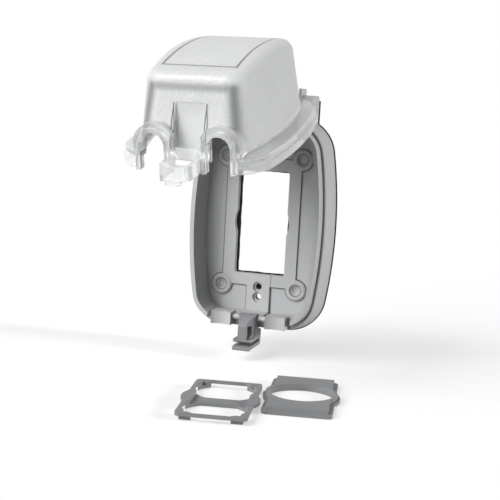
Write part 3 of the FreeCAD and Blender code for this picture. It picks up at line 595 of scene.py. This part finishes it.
def clear_polycarbonate():
    finish = Finish("clear_polycarbonate", IOR=PLASTIC_IOR, **FROST)
    across, forward, up = closed_axes(finish)
    hood = hood_skin(forward, up)
    sink = finish.noise(LID_SINK_LENGTH, detail=1.0)
    frosted_skin(finish, across, forward, up, sink)
    normal = finish.shader.inputs["Normal"].links[0].from_socket
    through = finish.node("ShaderNodeBsdfTranslucent", None, THROUGH_WALL, normal)
    frosted = finish.node("ShaderNodeMixShader", None, THROUGH_SHARE, finish.shader.outputs[0],
                          through.outputs[0])
    ripple = finish.node("ShaderNodeBump", None, Strength=1.0, Distance=RIPPLE_DEPTH, Height=sink)
    glass = finish.node("ShaderNodeBsdfPrincipled", None, IOR=PLASTIC_IOR, Normal=ripple.outputs[0],
                        **GLASS)
    skins = finish.node("ShaderNodeMixShader", None, hood, glass.outputs[0], frosted.outputs[0])
    finish.show("Material Output", skins)
    return finish


clear_polycarbonate().on(solids["clear_lid"])

# %% [markdown]
# ## Table
# The parts are shown in a white studio. The table is darker for the light that it throws back on
# the parts than for the camera, which sees it nearly white and glowing a little. The Light Path node
# tells the two apart, so the table's white never comes from more light on the parts. It lies just
# under the adapter plates and keeps the shadows.

# %% Table
TABLE_SIZE = 8.0
TABLE_GAP = 0.0002
TABLE_GLOW = 0.52
TABLE_ROUGH = 0.9
TABLE_LIGHTING = (0.18, 0.18, 0.18)
TABLE_SEEN = (0.95, 0.95, 0.95)
WHITE = (1.0, 1.0, 1.0, 1.0)

table_z = min(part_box("round_adapter")[0].z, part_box("duplex_adapter")[0].z) - TABLE_GAP
deselect_all()
bpy.ops.mesh.primitive_plane_add(size=TABLE_SIZE, location=(0.0, 0.0, table_z))
table = bpy.context.object
table.name = "table"

table_top = Finish("table_top", Roughness=TABLE_ROUGH)
seen = table_top.ray("Camera", "Glossy", "Transmission")
table_top.wear("Base Color", table_top.blend(seen, TABLE_LIGHTING, TABLE_SEEN))
shine = table_top.node("ShaderNodeEmission", None, WHITE, 1.0)
lit_table = table_top.node("ShaderNodeMixShader", None, seen * TABLE_GLOW,
                           table_top.shader.outputs[0], shine.outputs[0])
table_top.show("Material Output", lit_table)
table_top.on(table)

# %% [markdown]
# ## Sky
# The camera sees a white sky. What lights the parts is dimmer and falls off from left to right, as
# beside a big soft box on the left. Light that a surface mirrors gets a brighter sky, and light that
# comes through the clear plastic gets the brightest, or the lid would look grey before the white.

# %% Sky
SKY_LEFT = 0.50
SKY_RIGHT = 0.05
SKY_FALL = (-0.6, 0.3)
MIRRORED_LIFT = 0.40
GLASS_LIFT = 0.62

world = bpy.data.worlds.new("studio")
bpy.context.scene.world = world
world.use_nodes = True
sky = Web(world.node_tree)
toward = sky.node("ShaderNodeSeparateXYZ", None, sky.node("ShaderNodeTexCoord").outputs["Generated"])
fall = sky.level("ShaderNodeMapRange", None, toward.outputs["X"], *SKY_FALL, SKY_LEFT, SKY_RIGHT)
strength = fall + sky.ray("Glossy") * MIRRORED_LIFT + sky.ray("Transmission") * GLASS_LIFT
graded = sky.node("ShaderNodeBackground", None, WHITE, strength)
white = sky.node("ShaderNodeBackground", None, WHITE, 1.0)
whole_sky = sky.node("ShaderNodeMixShader", None, sky.ray("Camera"), graded.outputs[0], white.outputs[0])
sky.show("World Output", whole_sky)
print("sky from", SKY_LEFT, "on the left to", SKY_RIGHT, "on the right")

# %% [markdown]
# ## Lamps
# Four far lamps light the parts. The widest, at the left and above, is the main light. A low one in
# front reaches into the tray, and a narrower one at the right lights the lid's skirt and the tray's
# flank. Only the small sheen lamp is mirrored by the parts: it puts the highlight on the hood, where
# a wide lamp would whiten the whole edge.

# %% Lamps


def soft_lamp(name, source, strength, spread, mirrored=False):
    """A lamp so far away that it lights the whole table alike, with this angular size in degrees."""
    lamp = bpy.data.lights.new(name, "SUN")
    lamp.energy = strength
    lamp.angle = math.radians(spread)
    holder = bpy.data.objects.new(name, lamp)
    bpy.context.scene.collection.objects.link(holder)
    holder.rotation_euler = (-Vector(source)).to_track_quat("-Z", "Y").to_euler()
    holder.visible_glossy = mirrored
    print(name, "from", source)


soft_lamp("left_lamp", source=(-0.62, -0.65, 0.62), strength=2.45, spread=35.0)
soft_lamp("sheen_lamp", source=(-0.40, -0.55, 0.75), strength=0.35, spread=8.0, mirrored=True)
soft_lamp("front_lamp", source=(-0.36, -1.0, 0.15), strength=1.55, spread=30.0)
soft_lamp("right_lamp", source=(1.0, 0.10, 0.30), strength=2.9, spread=12.0)

# %% [markdown]
# ## Camera
# The camera stands to the right of the box and a little above it, far enough away for a long lens.
# Its place and turn were fitted to the photo, as a compromise between the box, which is seen there
# from low down, and the plates, which are seen from higher up. The turn is in degrees: the tilt from
# looking straight down, the roll and the heading.

# %% Camera
SENSOR_WIDTH = 36.0
FOCAL_LENGTH = 79.2
CAMERA_PLACE = (0.19429, -0.67855, 0.07602)
CAMERA_TURN = (82.344, -3.104, 17.06)

camera = bpy.data.objects.new("camera", bpy.data.cameras.new("camera"))
bpy.context.scene.collection.objects.link(camera)
camera.data.sensor_width = SENSOR_WIDTH
camera.data.lens = FOCAL_LENGTH
camera.location = CAMERA_PLACE
camera.rotation_euler = [math.radians(turn) for turn in CAMERA_TURN]
bpy.context.scene.camera = camera
bpy.context.scene.view_settings.view_transform = "Standard"
print("camera at", tuple(camera.location))
